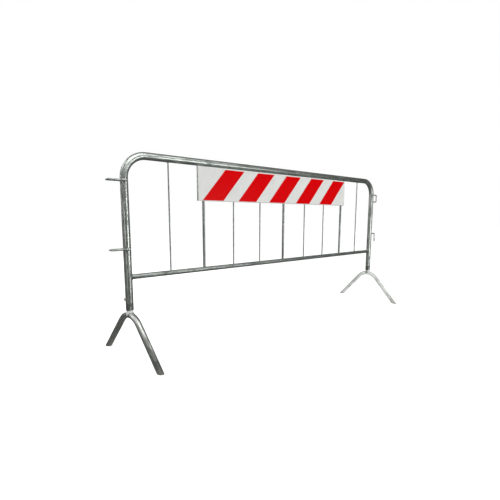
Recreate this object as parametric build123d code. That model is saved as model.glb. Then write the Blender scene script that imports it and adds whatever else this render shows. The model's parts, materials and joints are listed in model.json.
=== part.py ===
"""Interlocking steel pedestrian barrier with plug-in swivel feet and a striped sign panel.

Millimetres. +Z is up, X runs along the barrier and Y across it, with the sign on the -Y side.
The origin is on the ground, midway between the posts. Every sub-part is written to parts/NODE.step.
"""

import math
import os

from build123d import *

# ---- Overall sizes --------------------------------------------------------------------------
overall_height = 1100.0  # ground to the top of the hoop
post_pitch = 2260.0  # centre to centre of the two posts
bottom_rail_height = 448.0  # ground to the bottom rail's centre line

# ---- Tubes and rods -------------------------------------------------------------------------
hoop_od = 40.0
hoop_wall = 1.5
hoop_bend_radius = 120.0  # to the tube's centre line
rail_od = 27.0
rail_wall = 1.5
rod_diameter = 8.0  # thin infill rods
upright_od = 16.0  # thick infill tubes that carry the sign
upright_wall = 1.5

# ---- Infill layout --------------------------------------------------------------------------
infill_count = 9
left_bay = 246.0  # from the left post's axis to the first infill bar
right_bay = 230.0  # from the last infill bar to the right post's axis
upright_every = 3  # the 2nd, 5th and 8th are the thick ones
upright_first = 2

# ---- Swivel feet ----------------------------------------------------------------------------
foot_od = 34.0
foot_wall = 2.0
foot_half_spread = 278.0  # from the post's axis to the centre of each leg's end, on the ground
foot_leg_angle = 47.0  # degrees above the ground
foot_bend_radius = 120.0
foot_gap = 11.0  # from the top of the foot's bend to the post's lower end
left_foot_yaw = 8.0  # degrees that each foot stands turned from square
right_foot_yaw = 0.0

spigot_clearance = 0.5  # on the radius, inside the post
spigot_wall = 5.0
spigot_insertion = 110.0  # length of spigot inside the post
stop_gap = 0.2  # from the spigot's top to the stop that the post's weight bears through
stop_clearance = 0.05  # on the radius, where the stop is welded into the post
stop_thickness = 6.0
stop_drain_diameter = 10.0
groove_depth = 2.5
groove_side_clearance = 0.5
screw_height = 61.0  # from the post's lower end to the dog screw's axis
screw_diameter = 8.0
screw_length = 12.0
dog_diameter = 6.0
dog_length = 3.5
dog_clearance = 0.3  # from the dog to the bottom of the groove
socket_across_flats = 4.0
socket_depth = 4.0
nut_across_flats = 13.0
nut_thickness = 6.5
thread_clearance = 0.1  # on the radius, where the screw passes through the nut
wall_hole_clearance = 0.4  # on the radius, where the screw passes through the post

vent_diameter = 10.0
vent_above_rail = 90.0  # from the bottom rail's centre line

# ---- Couplings at the ends ------------------------------------------------------------------
coupling_rod = 10.0
coupling_reach = 90.0  # from the post's axis to the outermost point, at both ends
upper_eyelet_below_top = 151.0  # from the top of the hoop
lower_eyelet_above_rail = 148.0  # from the bottom rail's centre line
eyelet_inner_width = 22.0
eyelet_seat_overlap = 8.0  # how far each arm runs past the post's axis
hook_rise = 15.0  # hook's centre line above the eyelet that it drops into
hook_bend_radius = 12.0
lower_hook_drop = 73.0  # centre line of the arm to the end of the leg
upper_hook_drop = 62.0  # centre line of the arm to the centre line of the returned tip
upper_hook_mouth = 14.0  # gap between the returned tip and the post

# ---- Sign panel -----------------------------------------------------------------------------
panel_left_overhang = 48.0  # past the first upright's axis
panel_right_overhang = 12.0  # past the last upright's axis
panel_height = 200.0
panel_under_hoop = 2.0  # gap between the hoop and the panel's top edge
panel_depth = 15.0
panel_sheet = 1.2
panel_lip = 20.0
panel_clearance = 0.1  # from the back of the lips to the uprights
film_thickness = 0.3
film_margin = 1.5
stripe_thickness = 0.2
stripe_count = 5
stripe_width = 147.0
stripe_angle = 48.75  # degrees from level
stripe_left_margin = 30.5  # from the panel's end to the first stripe's lower corner
stripe_right_margin = 4.5  # from the last stripe's upper corner to the panel's end
stripe_top_margin = 9.0
stripe_bottom_margin = 4.0

# ---- Clips and rivets -----------------------------------------------------------------------
clip_strip = 14.0  # height of the strap
clip_sheet = 1.5
clip_ear = 17.0
clip_clearance = 0.1
rivet_shank = 4.8
rivet_head = 9.5
rivet_head_height = 1.8
rivet_bulb = 7.0
rivet_bulb_height = 2.4
rivet_clearance = 0.05

# ---- Worked out from the values above ---------------------------------------------------------
hoop_radius = hoop_od / 2
hoop_centre_height = overall_height - hoop_radius
post_x = post_pitch / 2
leg_angle = math.radians(foot_leg_angle)
foot_virtual_apex = foot_half_spread * math.tan(leg_angle)
foot_apex_height = foot_virtual_apex - foot_bend_radius * (1 / math.cos(leg_angle) - 1)
post_bottom = foot_apex_height + foot_od / 2 + foot_gap
spigot_od = hoop_od - 2 * hoop_wall - 2 * spigot_clearance
spigot_top = post_bottom + spigot_insertion
screw_z = post_bottom + screw_height
groove_width = dog_diameter + 2 * groove_side_clearance
groove_radius = spigot_od / 2 - groove_depth
panel_top = overall_height - hoop_od - panel_under_hoop
panel_bottom = panel_top - panel_height
panel_back = -(upright_od / 2 + panel_clearance)  # back of the lips
panel_front = panel_back - panel_depth
film_front = panel_front - film_thickness
coupling_radius = coupling_rod / 2
upper_eyelet_height = overall_height - upper_eyelet_below_top
lower_eyelet_height = bottom_rail_height + lower_eyelet_above_rail
infill_pitch = (post_pitch - left_bay - right_bay) / (infill_count - 1)
stripe_height = panel_height - stripe_top_margin - stripe_bottom_margin
stripe_lean = stripe_height / math.tan(math.radians(stripe_angle))

SIDES = {"left": -1, "right": 1}
FOOT_YAW = {"left": left_foot_yaw, "right": right_foot_yaw}


def rod_x(diameter, x_from, x_to, z):
    """A solid round bar along X on the barrier's middle plane."""
    return Pos((x_from + x_to) / 2, 0, z) * Rot(0, 90, 0) * Cylinder(diameter / 2, x_to - x_from)


def rod_z(diameter, x, z_from, z_to):
    """A solid round bar along Z on the barrier's middle plane."""
    return Pos(x, 0, (z_from + z_to) / 2) * Cylinder(diameter / 2, z_to - z_from)


def bent_rod(diameter, radius, *points):
    """A solid round bar that follows straight runs joined by bends of one radius."""
    path = FilletPolyline(*points, radius=radius)
    return sweep((path ^ 0) * Circle(diameter / 2), path=path)


def bent_tube(diameter, wall, radius, *points):
    """A hollow bent_rod."""
    path = FilletPolyline(*points, radius=radius)
    ring = Circle(diameter / 2) - Circle(diameter / 2 - wall)
    return sweep((path ^ 0) * ring, path=path)


def post_envelope():
    """Both posts as solid bars, for coping what is welded to them."""
    return [rod_z(hoop_od, side * post_x, post_bottom, hoop_centre_height) for side in SIDES.values()]


# ---- Frame ----------------------------------------------------------------------------------
def frame_hoop():
    """The bent outer tube: two posts and the top rail, with vent holes and dog screw holes."""
    hoop = bent_tube(
        hoop_od,
        hoop_wall,
        hoop_bend_radius,
        (-post_x, 0, post_bottom),
        (-post_x, 0, hoop_centre_height),
        (post_x, 0, hoop_centre_height),
        (post_x, 0, post_bottom),
    )
    for side in SIDES.values():
        inner_face = side * (post_x - hoop_radius)
        left_face = side * post_x - hoop_radius
        for diameter, face, z in (
            (vent_diameter, inner_face, bottom_rail_height + vent_above_rail),
            (screw_diameter + 2 * wall_hole_clearance, left_face, screw_z),
        ):
            hoop -= rod_x(diameter, face - hoop_radius / 2, face + hoop_radius / 2, z)
    return hoop


def bottom_rail():
    """The lower tube, coped to the posts."""
    rail = rod_x(rail_od, -post_x, post_x, bottom_rail_height)
    rail -= rod_x(rail_od - 2 * rail_wall, -post_x, post_x, bottom_rail_height)
    for post in post_envelope():
        rail -= post
    return rail


def infill_x(number):
    """Where infill bar number 1, 2, 3 ... stands."""
    return -post_x + left_bay + (number - 1) * infill_pitch


def upright_numbers():
    """Which infill bars are the thick tubes that carry the sign."""
    return range(upright_first, infill_count + 1, upright_every)


def infill_bar(number):
    """One infill bar, coped to the hoop above and the bottom rail below."""
    x = infill_x(number)
    thick = number in upright_numbers()
    diameter = upright_od if thick else rod_diameter
    bar = rod_z(diameter, x, bottom_rail_height, hoop_centre_height)
    if thick:
        bar -= rod_z(diameter - 2 * upright_wall, x, bottom_rail_height, hoop_centre_height)
    reach = diameter * 2
    bar -= rod_x(hoop_od, x - reach, x + reach, hoop_centre_height)
    bar -= rod_x(rail_od, x - reach, x + reach, bottom_rail_height)
    return bar


# ---- End couplings ----------------------------------------------------------------------------
def eyelet(height):
    """A flat loop of rod on the left post: narrow outside, its two arms welded fore and aft."""
    seat = hoop_radius + coupling_radius
    slot = (eyelet_inner_width + coupling_rod) / 2
    end = -post_x - coupling_reach + coupling_radius
    flare_out = -post_x - hoop_radius - coupling_radius
    flare_in = -post_x - hoop_radius * 0.45
    start = -post_x + eyelet_seat_overlap
    half = [(start, seat), (flare_in, seat), (flare_out, slot), (end, slot)]
    points = [(x, y, height) for x, y in half] + [(x, -y, height) for x, y in reversed(half)]
    path = FilletPolyline(*points, radius=coupling_rod)
    loop = sweep((path ^ 0) * Circle(coupling_radius), path=path)
    return loop - post_envelope()[0]


def hook(height, drop, returned):
    """A rod hook on the right post. A returned hook has its tip turned back towards the post."""
    leg = post_x + coupling_reach - coupling_radius
    points = [(post_x, 0, height), (leg, 0, height), (leg, 0, height - drop)]
    if returned:
        points.append((post_x + hoop_radius + upper_hook_mouth, 0, height - drop))
    return bent_rod(coupling_rod, hook_bend_radius, *points) - post_envelope()[1]


# ---- Sign panel -----------------------------------------------------------------------------
def box_between(low, high):
    """A box from its lowest to its highest corner."""
    size = [b - a for a, b in zip(low, high)]
    middle = [(a + b) / 2 for a, b in zip(low, high)]
    return Pos(*middle) * Box(*size)


def panel_ends():
    """The panel's left and right ends along X."""
    uprights = upright_numbers()
    return infill_x(uprights[0]) - panel_left_overhang, infill_x(uprights[-1]) + panel_right_overhang


def clip_heights():
    """Centre of the clips on the bottom lip and on the top lip."""
    return panel_bottom + panel_lip / 2, panel_top - panel_lip / 2


def ear_sides(number):
    """The sides, -1 and 1, on which a clip's ear still lies on the panel's lip."""
    left, right = panel_ends()
    reach = upright_od / 2 + clip_clearance + clip_sheet + clip_ear
    return [side for side in (-1, 1) if left <= infill_x(number) + side * reach <= right]


def rivet_points(number):
    """The axis of every rivet beside one upright."""
    offset = upright_od / 2 + clip_clearance + clip_sheet + clip_ear / 2
    return [(infill_x(number) + side * offset, z) for z in clip_heights() for side in ear_sides(number)]


def all_rivet_points():
    """The axis of every rivet on the panel."""
    return [point for number in upright_numbers() for point in rivet_points(number)]


def rivet_hole(x, z):
    """A hole through whatever lies at the panel's back."""
    radius = rivet_shank / 2 + rivet_clearance
    depth = 4 * (clip_sheet + panel_sheet)
    return Pos(x, panel_back, z) * Rot(90, 0, 0) * Cylinder(radius, depth)


def sign_panel():
    """A tray of folded sheet: face, four flanges, and a lip along the top and the bottom."""
    left, right = panel_ends()
    tray = box_between((left, panel_front, panel_bottom), (right, panel_back, panel_top))
    tray -= box_between(
        (left + panel_sheet, panel_front + panel_sheet, panel_bottom + panel_sheet),
        (right - panel_sheet, panel_back - panel_sheet, panel_top - panel_sheet),
    )
    tray -= box_between(
        (left + panel_sheet, panel_back - 2 * panel_sheet, panel_bottom + panel_lip),
        (right - panel_sheet, panel_back + panel_sheet, panel_top - panel_lip),
    )
    folds = tray.edges().filter_by(Axis.X).group_by(Axis.Y)[0]
    tray = fillet(folds.group_by(Axis.Z)[0] + folds.group_by(Axis.Z)[-1], panel_sheet * 0.9)
    for x, z in all_rivet_points():
        tray -= rivet_hole(x, z)
    return tray


def white_film():
    """The white reflective sheet on the panel's face."""
    left, right = panel_ends()
    return box_between(
        (left + film_margin, film_front, panel_bottom + film_margin),
        (right - film_margin, panel_front, panel_top - film_margin),
    )


def red_stripe(number):
    """One leaning red stripe on the white sheet, numbered 1 to stripe_count from -X."""
    left, right = panel_ends()
    first = left + stripe_left_margin
    last = right - stripe_right_margin - stripe_lean - stripe_width
    x = first + (number - 1) * (last - first) / (stripe_count - 1)
    low = panel_bottom + stripe_bottom_margin
    high = low + stripe_height
    outline = Polyline(
        (x, low),
        (x + stripe_width, low),
        (x + stripe_width + stripe_lean, high),
        (x + stripe_lean, high),
        close=True,
    )
    face = Plane(origin=(0, film_front, 0), x_dir=(1, 0, 0), z_dir=(0, -1, 0)) * make_face(outline)
    return extrude(face, stripe_thickness)


def panel_clip(number, z):
    """A saddle strap round one upright, with its ears against the panel's lip."""
    inner = upright_od / 2 + clip_clearance
    outer = inner + clip_sheet
    half = clip_strip / 2
    strap = Cylinder(outer, clip_strip)
    strap += box_between((-outer, panel_back, -half), (outer, 0, half))
    for side in ear_sides(number):
        near, far = sorted((side * inner, side * (outer + clip_ear)))
        strap += box_between((near, panel_back, -half), (far, panel_back + clip_sheet, half))
    strap -= Cylinder(inner, 2 * clip_strip)
    strap -= box_between((-inner, 2 * panel_back, -clip_strip), (inner, 0, clip_strip))
    strap -= box_between((-outer, 4 * panel_back, -clip_strip), (outer, panel_back, clip_strip))
    clip = Pos(infill_x(number), 0, z) * strap
    for rivet_x, rivet_z in rivet_points(number):
        if rivet_z == z:
            clip -= rivet_hole(rivet_x, rivet_z)
    return clip


def rivet(x, z):
    """A blind rivet: domed head behind the clip's ear, bulb inside the tray."""
    head_seat = panel_back + clip_sheet
    bulb_seat = panel_back - panel_sheet
    sphere = ((rivet_head / 2) ** 2 + rivet_head_height**2) / (2 * rivet_head_height)
    dome = Pos(0, 0, rivet_head_height - sphere) * Sphere(sphere)
    dome &= Pos(0, 0, rivet_head_height) * Cylinder(rivet_head / 2, 2 * rivet_head_height)
    shank_length = head_seat - bulb_seat
    shank = Pos(0, 0, -shank_length / 2) * Cylinder(rivet_shank / 2, shank_length)
    bulb = Pos(0, 0, -shank_length - rivet_bulb_height / 2)
    bulb *= Cylinder(rivet_bulb / 2, rivet_bulb_height)
    return Pos(x, head_seat, z) * Rot(-90, 0, 0) * (dome + shank + bulb)


# ---- Feet -----------------------------------------------------------------------------------
def foot_envelope_or_tube(side, hollow):
    """One inverted V of bent tube, its ends cut level with the ground."""
    below = foot_od / math.tan(leg_angle)
    drop = below * math.tan(leg_angle)
    points = (
        (0, -foot_half_spread - below, -drop),
        (0, 0, foot_virtual_apex),
        (0, foot_half_spread + below, -drop),
    )
    if hollow:
        foot = bent_tube(foot_od, foot_wall, foot_bend_radius, *points)
    else:
        foot = bent_rod(foot_od, foot_bend_radius, *points)
    length = 2 * (foot_half_spread + below + foot_od)
    foot &= Pos(0, 0, foot_virtual_apex / 2) * Box(2 * foot_od, length, foot_virtual_apex)
    return Pos(SIDES[side] * post_x, 0, 0) * Rot(0, 0, FOOT_YAW[side]) * foot


def spigot(side):
    """The thick tube that plugs into the post, grooved for the dog screw and coped to the foot."""
    x = SIDES[side] * post_x
    tube = rod_z(spigot_od, x, foot_apex_height, spigot_top)
    tube -= rod_z(spigot_od - 2 * spigot_wall, x, foot_apex_height, spigot_top)
    ring = rod_z(2 * spigot_od, x, screw_z - groove_width / 2, screw_z + groove_width / 2)
    ring -= rod_z(2 * groove_radius, x, screw_z - groove_width, screw_z + groove_width)
    tube -= ring
    top_edges = tube.edges().filter_by(GeomType.CIRCLE).group_by(Axis.Z)[-1]
    tube = chamfer(top_edges.sort_by(SortBy.RADIUS)[-1], spigot_wall * 0.4)
    return tube - foot_envelope_or_tube(side, hollow=False)


def post_stop(side):
    """The drilled disc welded inside the post. The post's weight bears through it on the spigot."""
    x = SIDES[side] * post_x
    bottom = spigot_top + stop_gap
    diameter = hoop_od - 2 * hoop_wall - 2 * stop_clearance
    disc = rod_z(diameter, x, bottom, bottom + stop_thickness)
    return disc - rod_z(stop_drain_diameter, x, bottom - stop_thickness, bottom + 2 * stop_thickness)


def dog_screw(side):
    """A socket set screw, its dog point running in the spigot's groove."""
    tip = groove_radius + dog_clearance
    shoulder = tip + dog_length
    end = tip + screw_length
    screw = Pos(0, 0, (tip + shoulder) / 2) * Cylinder(dog_diameter / 2, dog_length)
    screw += Pos(0, 0, (shoulder + end) / 2) * Cylinder(screw_diameter / 2, end - shoulder)
    socket = RegularPolygon(socket_across_flats / 2, 6, major_radius=False)
    screw -= Pos(0, 0, end - socket_depth) * extrude(socket, 2 * socket_depth)
    return place_on_left_face(side, screw)


def weld_nut(side):
    """The hexagon nut welded to the post's -X face, coped to the tube."""
    nut = Pos(0, 0, hoop_radius - nut_thickness / 2)
    nut *= extrude(RegularPolygon(nut_across_flats / 2, 6, major_radius=False), nut_thickness * 1.5)
    nut -= Cylinder(screw_diameter / 2 + thread_clearance, 4 * hoop_od)
    return place_on_left_face(side, nut) - post_envelope()[0 if side == "left" else 1]


def place_on_left_face(side, shape):
    """Stands a shape, made along +Z from the post's axis, on the post's -X face."""
    return Pos(SIDES[side] * post_x, 0, screw_z) * Rot(0, -90, 0) * shape


# ---- Assembly ---------------------------------------------------------------------------------
def build_parts():
    """Every sub-part by its node's name. A list is a group of separate solids."""
    parts = {
        "frame_hoop": frame_hoop(),
        "bottom_rail": bottom_rail(),
        "upper_eyelet": eyelet(upper_eyelet_height),
        "lower_eyelet": eyelet(lower_eyelet_height),
        "upper_hook": hook(upper_eyelet_height + hook_rise, upper_hook_drop, returned=True),
        "lower_hook": hook(lower_eyelet_height + hook_rise, lower_hook_drop, returned=False),
        "sign_panel": sign_panel(),
        "white_film": white_film(),
        "panel_rivets": [rivet(x, z) for x, z in all_rivet_points()],
    }
    for number in range(1, infill_count + 1):
        kind = "upright" if number in upright_numbers() else "rod"
        parts[f"infill_{kind}_{number}"] = infill_bar(number)
    for number in upright_numbers():
        for level, z in zip(("lower", "upper"), clip_heights()):
            parts[f"{level}_clip_{number}"] = panel_clip(number, z)
    for number in range(1, stripe_count + 1):
        parts[f"red_stripe_{number}"] = red_stripe(number)
    for side in SIDES:
        parts[f"{side}_foot_tube"] = foot_envelope_or_tube(side, hollow=True)
        parts[f"{side}_spigot"] = spigot(side)
        parts[f"{side}_post_stop"] = post_stop(side)
        parts[f"{side}_dog_screw"] = dog_screw(side)
        parts[f"{side}_weld_nut"] = weld_nut(side)
    return parts


def main():
    """Writes one STEP file per node."""
    os.makedirs("parts", exist_ok=True)
    for name, shape in build_parts().items():
        if isinstance(shape, list):
            shape = Compound(children=shape)
        export_step(shape, f"parts/{name}.step")


if __name__ == "__main__":
    main()
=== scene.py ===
import sys
import json
import logging
import math
from collections.abc import Callable
from dataclasses import dataclass, field
from enum import Enum
from typing import Any

import bpy
from mathutils import Euler, Matrix, Vector


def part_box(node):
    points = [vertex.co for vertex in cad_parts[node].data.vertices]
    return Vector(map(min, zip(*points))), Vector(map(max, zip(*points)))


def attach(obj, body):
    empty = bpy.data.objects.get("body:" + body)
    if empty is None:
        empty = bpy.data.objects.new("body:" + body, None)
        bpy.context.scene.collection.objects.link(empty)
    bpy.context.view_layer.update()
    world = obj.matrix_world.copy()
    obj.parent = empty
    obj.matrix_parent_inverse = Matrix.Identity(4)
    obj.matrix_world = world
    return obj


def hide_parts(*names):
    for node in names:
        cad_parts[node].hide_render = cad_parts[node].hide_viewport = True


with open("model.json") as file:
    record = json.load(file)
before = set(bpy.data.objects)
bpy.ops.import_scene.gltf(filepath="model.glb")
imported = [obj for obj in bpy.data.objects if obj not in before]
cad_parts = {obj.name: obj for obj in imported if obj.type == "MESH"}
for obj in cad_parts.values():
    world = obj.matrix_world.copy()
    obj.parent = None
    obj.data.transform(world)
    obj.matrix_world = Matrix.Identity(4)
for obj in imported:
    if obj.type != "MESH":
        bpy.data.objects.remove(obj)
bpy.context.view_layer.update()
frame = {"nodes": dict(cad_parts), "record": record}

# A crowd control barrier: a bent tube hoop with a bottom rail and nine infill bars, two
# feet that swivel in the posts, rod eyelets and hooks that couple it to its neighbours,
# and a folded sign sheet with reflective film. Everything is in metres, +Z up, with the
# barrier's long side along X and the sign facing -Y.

LOG = logging.getLogger("barrier")
UNROLLED = "unrolled"  # attribute: a tube's surface as if the tube were straight
BEND = "bend_radius"  # attribute of a path's points
THICKNESS = "tube_radius"  # attribute of a path's points
SAME_POINT = 1e-6  # corners nearer than this are merged
NODE_COLUMNS, NODE_WIDTH, NODE_HEIGHT = 12, 200, 260  # where a tree's nodes are laid out

Three = tuple[float, float, float]
Colour = Three

ALONG = Vector((1.0, 0.0, 0.0))
ACROSS = Vector((0.0, 1.0, 0.0))
UP = Vector((0.0, 0.0, 1.0))
LEFT, RIGHT = -1.0, 1.0  # a side's sign along X


# ---------------------------------------------------------------- node trees


def _operator(operation: str, reflected: bool = False) -> Callable[..., "Value"]:
    """Makes an operator or a method of Value.

    Args:
        operation: what its Math node does.
        reflected: whether the wrapped number comes second.

    Returns:
        The method.
    """

    def method(self: "Value", *others: "Number") -> "Value":
        """Adds the Math node."""
        return self.graph.maths(operation, *((*others, self) if reflected else (self, *others)))

    return method


class Value:
    """A number inside a node tree. Each operator or method on it adds a Math node."""

    __add__, __radd__ = _operator("ADD"), _operator("ADD", reflected=True)
    __sub__, __rsub__ = _operator("SUBTRACT"), _operator("SUBTRACT", reflected=True)
    __mul__, __rmul__ = _operator("MULTIPLY"), _operator("MULTIPLY", reflected=True)
    __truediv__, __rtruediv__ = _operator("DIVIDE"), _operator("DIVIDE", reflected=True)
    __abs__, root = _operator("ABSOLUTE"), _operator("SQRT")
    at_least, at_most = _operator("MAXIMUM"), _operator("MINIMUM")
    fraction, sign = _operator("FRACT"), _operator("SIGN")

    def __init__(self, graph: "Graph", socket: bpy.types.NodeSocket) -> None:
        """Wraps a socket of the graph's tree."""
        self.graph = graph
        self.socket = socket

    def __neg__(self) -> "Value":
        """Changes the sign."""
        return self * -1.0

    def step(self, low: float, high: float) -> "Value":
        """Rises smoothly from 0 at low to 1 at high, or falls where high is the lower.

        Args:
            low: where the result is 0.
            high: where the result is 1.

        Returns:
            The smooth step.
        """
        if low > high:
            return 1.0 - self.step(high, low)
        node = self.graph.node(
            "ShaderNodeMapRange",
            {"interpolation_type": "SMOOTHSTEP"},
            {"Value": self, "From Min": low, "From Max": high},
        )
        return self.graph.number(node, "Result")


Number = Value | float


class Triple:
    """A vector inside a node tree. Each operator on it adds a Vector Math node."""

    def __init__(self, graph: "Graph", socket: bpy.types.NodeSocket) -> None:
        """Wraps a socket of the graph's tree."""
        self.graph = graph
        self.socket = socket

    def _vector_maths(self, operation: str, other: dict[str | int, Any]) -> "Triple":
        """Adds a Vector Math node that starts with this vector."""
        node = self.graph.node("ShaderNodeVectorMath", {"operation": operation}, {0: self, **other})
        return self.graph.triple(node, "Vector")

    def __add__(self, other: Any) -> "Triple":
        """Adds another vector."""
        return self._vector_maths("ADD", {1: other})

    def __mul__(self, other: Any) -> "Triple":
        """Multiplies each part by another vector's part."""
        return self._vector_maths("MULTIPLY", {1: other})

    def scaled(self, size: Number) -> "Triple":
        """Multiplies the whole vector by a number."""
        return self._vector_maths("SCALE", {"Scale": size})

    def parts(self) -> tuple[Value, Value, Value]:
        """Splits the vector into its three numbers."""
        node = self.graph.node("ShaderNodeSeparateXYZ", None, {0: self})
        return tuple(self.graph.number(node, name) for name in "XYZ")


@dataclass(frozen=True)
class Pattern:
    """A noise pattern, and the part of its range that makes a mask."""

    scale: float  # lumps for each metre, roughly
    layers: float = 2.0
    rough: float = 0.5  # how strong the finer layers are
    shift: Three | None = None  # keeps one pattern apart from another
    start: float = 0.0
    full: float | None = None  # without it the noise is given as it is


class Graph:
    """A node tree while it is built, for a material or for Geometry Nodes."""

    def __init__(self, tree: bpy.types.NodeTree) -> None:
        """Empties the tree and starts on it."""
        self.tree = tree
        tree.nodes.clear()

    @staticmethod
    def find(sockets: Any, key: str | int) -> bpy.types.NodeSocket:
        """Finds a socket.

        Args:
            sockets: a node's inputs or outputs.
            key: the socket's place, identifier or name.

        Returns:
            The socket.
        """
        if isinstance(key, int):
            return sockets[key]
        named = [s for s in sockets if s.identifier == key] or [
            s for s in sockets if s.name == key and s.enabled
        ]
        return named[0]

    def node(
        self,
        kind: str,
        settings: dict[str, Any] | None = None,
        inputs: dict[str | int, Any] | None = None,
    ) -> bpy.types.Node:
        """Adds a node.

        Args:
            kind: the node's type.
            settings: its own properties, which are set first; "stops" are a ramp's.
            inputs: values or links of its sockets.

        Returns:
            The node.
        """
        node = self.tree.nodes.new(kind)
        row, column = divmod(len(self.tree.nodes), NODE_COLUMNS)
        node.location = (NODE_WIDTH * column, -NODE_HEIGHT * row)
        for name, value in (settings or {}).items():
            if name == "stops":
                ramp = node.color_ramp.elements
                while len(ramp) < len(value):
                    ramp.new(0.5)
                for element, (place, colour) in zip(ramp, value):
                    element.position = place
                    element.color = (*colour, 1.0)
            else:
                setattr(node, name, value)
        for key, value in (inputs or {}).items():
            self.feed(self.find(node.inputs, key), value)
        return node

    def feed(self, socket: bpy.types.NodeSocket, value: Any) -> None:
        """Links a socket or sets its value.

        Args:
            socket: the input to feed.
            value: a wrapped or plain socket, or a plain value.
        """
        if isinstance(value, (Value, Triple)):
            value = value.socket
        if isinstance(value, bpy.types.NodeSocket):
            self.tree.links.new(value, socket)
        elif socket.type == "RGBA":
            socket.default_value = (*value[:3], 1.0)
        else:
            socket.default_value = value

    def number(self, node: bpy.types.Node, key: str | int = 0) -> Value:
        """Wraps a node's output as a number."""
        return Value(self, self.find(node.outputs, key))

    def triple(self, node: bpy.types.Node, key: str | int = 0) -> Triple:
        """Wraps a node's output as a vector."""
        return Triple(self, self.find(node.outputs, key))

    def maths(self, operation: str, *numbers: Number) -> Value:
        """Adds a Math node."""
        node = self.node("ShaderNodeMath", {"operation": operation}, dict(enumerate(numbers)))
        return self.number(node, "Value")

    def join(self, x: Number, y: Number, z: Number) -> Triple:
        """Makes a vector of three numbers."""
        return self.triple(self.node("ShaderNodeCombineXYZ", None, {"X": x, "Y": y, "Z": z}))

    def noise(self, place: Triple, pattern: Pattern) -> Value:
        """Adds a Noise Texture.

        Args:
            place: where it is read.
            pattern: its numbers.

        Returns:
            A number around 0.5, or a mask from 0 to 1.
        """
        if pattern.shift:
            place = place + pattern.shift
        sockets = {
            "Vector": place,
            "Scale": pattern.scale,
            "Detail": pattern.layers,
            "Roughness": pattern.rough,
        }
        value = self.number(self.node("ShaderNodeTexNoise", None, sockets), 0)
        return value if pattern.full is None else value.step(pattern.start, pattern.full)


@dataclass(frozen=True)
class Layer:
    """A colour that covers a finish where one of its masks is 1."""

    mask: str
    cover: float
    colour: Colour


class ShaderGraph(Graph):
    """A material's node tree while it is built."""

    def object_place(self) -> Triple:
        """Gives the point in the object's own coordinates, which are the barrier's."""
        return self.triple(self.node("ShaderNodeTexCoord"), "Object")

    def attribute(self, name: str) -> Triple:
        """Gives a vector attribute of the mesh."""
        node = self.node("ShaderNodeAttribute", {"attribute_name": name})
        return self.triple(node, "Vector")

    def cells(self, place: Triple, scale: float, edges: bool = False) -> Value:
        """Adds a Voronoi Texture.

        Args:
            place: where it is read.
            scale: cells for each metre.
            edges: gives the distance to the nearest edge in place of the cell's number.

        Returns:
            A random number for each cell, or the distance.
        """
        feature = "DISTANCE_TO_EDGE" if edges else "F1"
        node = self.node("ShaderNodeTexVoronoi", {"feature": feature}, {"Vector": place, "Scale": scale})
        return self.number(node, "Distance") if edges else self.triple(node, "Color").parts()[0]

    def mix(self, amount: Number, first: Any, second: Any, blend: str = "MIX") -> Any:
        """Mixes two colours.

        Args:
            amount: how much of the second.
            first: a colour, or a socket that gives one.
            second: a colour, or a socket that gives one.
            blend: how the second goes over the first.

        Returns:
            The mixed colour's socket.
        """
        settings = {"data_type": "RGBA", "blend_type": blend, "clamp_result": True}
        sockets = {"Factor_Float": amount, "A_Color": first, "B_Color": second}
        node = self.node("ShaderNodeMix", settings, sockets)
        return self.find(node.outputs, "Result_Color")

    def shade(self, colour: Any, amount: Value) -> Any:
        """Multiplies a colour by a number that is the same for red, green and blue."""
        grey = self.join(amount, amount, amount)
        return self.mix(1.0, colour, grey.socket, "MULTIPLY")

    def layered(self, colour: Any, masks: dict[str, Value], *layers: Layer) -> Any:
        """Lays colours over a colour.

        Args:
            colour: the lowest colour.
            masks: the finish's masks.
            *layers: what covers it, from the lowest up. One whose mask is missing is left out.

        Returns:
            The finished colour's socket.
        """
        for layer in layers:
            if layer.mask in masks:
                colour = self.mix(masks[layer.mask] * layer.cover, colour, layer.colour)
        return colour

    def bump(self, height: Value, strength: float, depth: float) -> Triple:
        """Turns a height from 0 to 1 into a normal; the depth is what 1 stands for, in metres."""
        sockets = {"Height": height, "Strength": strength, "Distance": depth}
        return self.triple(self.node("ShaderNodeBump", None, sockets), "Normal")

    def surface(self, **sockets: Any) -> None:
        """Adds the Principled shader and the output.

        Args:
            **sockets: its inputs, with an underscore for each space.
        """
        named = {key.replace("_", " "): value for key, value in sockets.items()}
        shader = self.node("ShaderNodeBsdfPrincipled", None, named)
        self.node("ShaderNodeOutputMaterial", None, {"Surface": shader.outputs[0]})


def weigh(base: Number, masks: dict[str, Value], **weights: float) -> Number:
    """Adds masks to a number.

    Args:
        base: the number.
        masks: the finish's masks.
        **weights: each mask's weight. One whose mask is missing is left out.

    Returns:
        The sum.
    """
    for name, weight in weights.items():
        if name in masks:
            base = base + masks[name] * weight
    return base


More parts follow.
